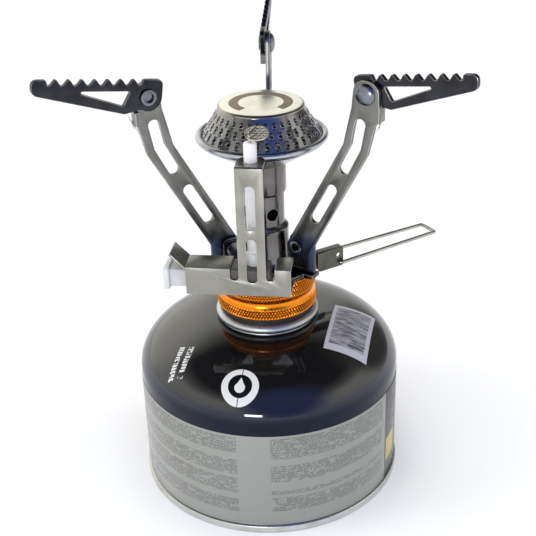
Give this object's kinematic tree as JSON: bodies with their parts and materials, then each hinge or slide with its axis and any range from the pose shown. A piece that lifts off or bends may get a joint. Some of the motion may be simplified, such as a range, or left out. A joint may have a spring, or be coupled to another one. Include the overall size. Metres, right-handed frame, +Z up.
{
  "type": "camping stove",
  "caption": "Screw-on camping gas stove with folding arms, toothed pot supports, wire valve handle and push-button igniter, on its gas canister.",
  "frame": {"origin": "centre of the canister's base, on the ground", "axes": "+Z up along the burner's axis, -Y towards the igniter, +X towards the valve handle's side"},
  "size_m": [0.1501, 0.1407, 0.1842],
  "materials": {
    "black_enamel": "gloss",
    "bare_steel": "satin",
    "printed_label": "satin",
    "brass": "satin",
    "rubber": "matte",
    "orange_anodised": "satin",
    "polished_steel": "polished",
    "arm_steel": "brushed",
    "dark_steel": "polished",
    "channel_steel": "brushed",
    "satin_cap": "satin",
    "wire_steel": "polished",
    "grey_plastic": "matte",
    "dark_plastic": "matte",
    "ceramic": "gloss"
  },
  "bodies": {
    "canister": {"canister_shell": "black_enamel", "canister_base": "bare_steel", "canister_label": "printed_label", "valve_cup": "bare_steel", "valve_stem": "brass", "valve_stem_gasket": "rubber", "valve_spring": "wire_steel"},
    "valve_pin": {"valve_pin": "brass"},
    "seat_washer": {"seat_washer": "rubber"},
    "stove": {"valve_body": "orange_anodised", "thread_insert": "brass", "opening_pin": "brass", "gas_jet": "brass", "base_plate": "dark_steel", "base_rivets": "polished_steel", "mixer_collar": "polished_steel", "mixer_tube": "polished_steel", "burner_sleeve": "polished_steel", "burner_pan": "polished_steel", "flame_screen": "bare_steel", "burner_cone": "polished_steel", "burner_cap": "satin_cap", "spindle_gland": "brass", "igniter_channel": "channel_steel", "igniter_screws": "bare_steel", "piezo_unit": "dark_plastic", "lead_boot": "grey_plastic", "ceramic_tube": "ceramic", "electrode_wire": "wire_steel", "spark_disc": "wire_steel"},
    "spindle_oring": {"spindle_oring": "rubber"},
    "spindle": {"valve_spindle": "brass", "handle_bracket": "channel_steel"},
    "handle_wire": {"handle_wire": "wire_steel"},
    "button": {"piezo_button": "grey_plastic"},
    "arm_left": {"arm_left": "arm_steel", "top_rivet_left": "polished_steel"},
    "support_left": {"pot_support_left": "dark_steel"},
    "arm_right": {"arm_right": "arm_steel", "top_rivet_right": "polished_steel"},
    "support_right": {"pot_support_right": "dark_steel"},
    "arm_back": {"arm_back": "arm_steel", "top_rivet_back": "polished_steel"},
    "support_back": {"pot_support_back": "dark_steel"}
  },
  "joints": [
    {"name": "stove_lift", "type": "slide", "parent": "canister", "child": "seat_washer", "axis": [0, 0, 1], "range_m": [0, 0.00545]},
    {"name": "stove_unscrew", "type": "hinge", "parent": "seat_washer", "child": "stove", "pos_m": [0, 0, 0.0777], "axis": [0, 0, 1], "range_deg": [0, 2160]},
    {"name": "valve_pin_slide", "type": "slide", "parent": "canister", "child": "valve_pin", "axis": [0, 0, 1], "range_m": [0, 0.00151], "deforming": ["valve_spring"]},
    {"name": "arm_fold_left", "type": "hinge", "parent": "stove", "child": "arm_left", "pos_m": [-0.01316, -0.0076, 0.105], "axis": [-0.5, 0.866, 0], "range_deg": [0, 7]},
    {"name": "support_fold_left", "type": "hinge", "parent": "arm_left", "child": "support_left", "pos_m": [-0.03914, -0.0226, 0.1719], "axis": [-0.5, 0.866, 0], "range_deg": [0, 130]},
    {"name": "arm_fold_right", "type": "hinge", "parent": "stove", "child": "arm_right", "pos_m": [0.01316, -0.0076, 0.105], "axis": [-0.5, -0.866, 0], "range_deg": [0, 7]},
    {"name": "support_fold_right", "type": "hinge", "parent": "arm_right", "child": "support_right", "pos_m": [0.03914, -0.0226, 0.1719], "axis": [-0.5, -0.866, 0], "range_deg": [0, 130]},
    {"name": "arm_fold_back", "type": "hinge", "parent": "stove", "child": "arm_back", "pos_m": [0, 0.0152, 0.105], "axis": [1, 0, 0], "range_deg": [0, 7]},
    {"name": "support_fold_back", "type": "hinge", "parent": "arm_back", "child": "support_back", "pos_m": [0, 0.0452, 0.1719], "axis": [1, 0, 0], "range_deg": [0, 130]},
    {"name": "spindle_travel", "type": "slide", "parent": "stove", "child": "spindle_oring", "axis": [0.8192, 0.5736, 0], "range_m": [0, 0.001]},
    {"name": "valve_turn", "type": "hinge", "parent": "spindle_oring", "child": "spindle", "pos_m": [0.01638, 0.01147, 0.0892], "axis": [0.8192, 0.5736, 0], "range_deg": [0, 720]},
    {"name": "handle_fold", "type": "hinge", "parent": "spindle", "child": "handle_wire", "pos_m": [0.02662, 0.01864, 0.087], "axis": [0.5736, -0.8192, 0], "range_deg": [-45, 95]},
    {"name": "igniter_press", "type": "slide", "parent": "stove", "child": "button", "axis": [0.9986, -0.0523, 0], "range_m": [0, 0.005], "stiffness_N_per_m": 400, "springref_m": -0.01}
  ],
  "couplings": [
    {"joint": "stove_lift", "follows": "stove_unscrew", "m_per_rad": 0.00014435},
    {"joint": "valve_pin_slide", "follows": "stove_unscrew", "m_per_rad": 0.000039789},
    {"joint": "spindle_travel", "follows": "valve_turn", "m_per_rad": 0.000079577}
  ]
}
